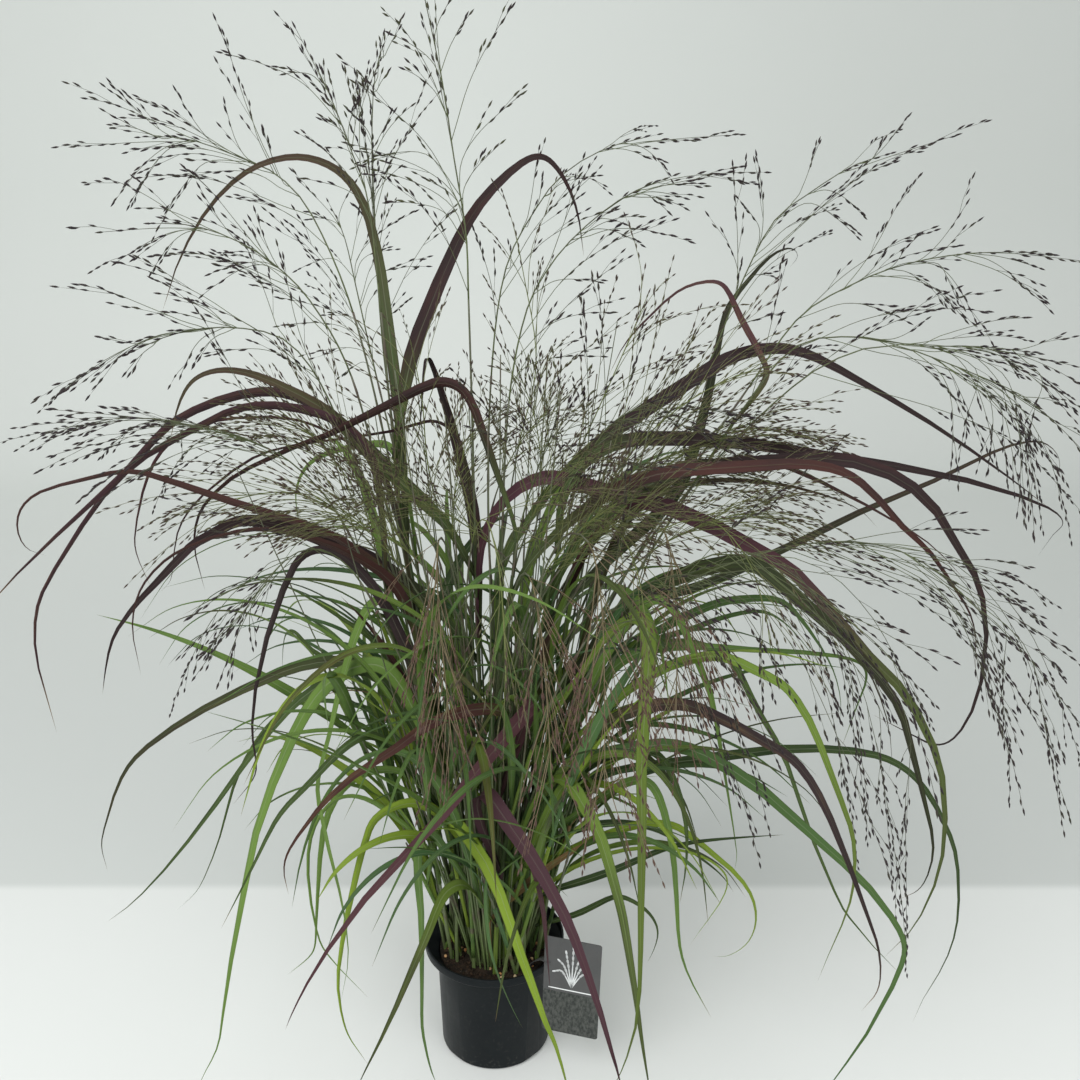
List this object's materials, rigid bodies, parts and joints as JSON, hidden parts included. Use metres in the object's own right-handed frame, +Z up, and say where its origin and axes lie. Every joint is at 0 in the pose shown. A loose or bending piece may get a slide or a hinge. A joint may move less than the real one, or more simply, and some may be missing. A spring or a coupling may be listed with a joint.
{
  "type": "potted switchgrass",
  "caption": "Clump of switchgrass with arching green and burgundy blades and open, airy panicles, in a round plastic nursery pot with potting mix and a picture tag on the rim.",
  "frame": {"origin": "centre of the pot's underside, on the surface it stands on", "axes": "+Z up through the pot, -Y towards the front, where the picture tag hangs at the right"},
  "size_m": [1.0164, 0.6584, 0.9318],
  "materials": {
    "pot_plastic": "dark charcoal, thin-walled, semi-matt",
    "potting_mix": "dark brown peat and bark, moist and crumbly",
    "tag_plastic": "thin printed plastic sheet, grey",
    "green_blade": "green grass blade, fine lengthwise veins",
    "burgundy_blade": "burgundy grass blade, green towards its base",
    "panicle_straw": "thin grey-green branches with dark purple-brown spikelets"
  },
  "bodies": {
    "root": {"flowering_stem_01": "burgundy_blade", "flowering_stem_02": "green_blade", "flowering_stem_03": "burgundy_blade", "flowering_stem_04": "green_blade", "flowering_stem_05": "burgundy_blade", "flowering_stem_06": "green_blade", "flowering_stem_07": "burgundy_blade", "flowering_stem_08": "green_blade", "flowering_stem_09": "burgundy_blade", "flowering_stem_10": "burgundy_blade", "flowering_stem_11": "burgundy_blade", "flowering_stem_12": "green_blade", "flowering_stem_13": "green_blade", "flowering_stem_14": "green_blade", "flowering_stem_15": "burgundy_blade", "flowering_stem_16": "burgundy_blade", "flowering_stem_17": "green_blade", "flowering_stem_18": "burgundy_blade", "flowering_stem_19": "burgundy_blade", "flowering_stem_20": "green_blade", "leafy_shoots_01": "green_blade", "leafy_shoots_02": "green_blade", "leafy_shoots_03": "green_blade", "leafy_shoots_04": "green_blade", "leafy_shoots_05": "green_blade", "leafy_shoots_06": "green_blade", "leafy_shoots_07": "green_blade", "leafy_shoots_08": "green_blade", "leafy_shoots_09": "green_blade", "leafy_shoots_10": "green_blade", "leafy_shoots_11": "green_blade", "leafy_shoots_12": "green_blade", "leafy_shoots_13": "green_blade", "leafy_shoots_14": "green_blade", "leafy_shoots_15": "green_blade", "leafy_shoots_16": "green_blade", "leafy_shoots_17": "green_blade", "panicle_01": "panicle_straw", "panicle_02": "panicle_straw", "panicle_03": "panicle_straw", "panicle_04": "panicle_straw", "panicle_05": "panicle_straw", "panicle_06": "panicle_straw", "panicle_07": "panicle_straw", "panicle_08": "panicle_straw", "panicle_09": "panicle_straw", "panicle_10": "panicle_straw", "panicle_11": "panicle_straw", "panicle_12": "panicle_straw", "panicle_13": "panicle_straw", "panicle_14": "panicle_straw", "panicle_15": "panicle_straw", "panicle_16": "panicle_straw", "panicle_17": "panicle_straw", "panicle_18": "panicle_straw", "panicle_19": "panicle_straw", "panicle_20": "panicle_straw", "picture_tag": "tag_plastic", "pot": "pot_plastic", "potting_mix": "potting_mix"}
  },
  "joints": []
}
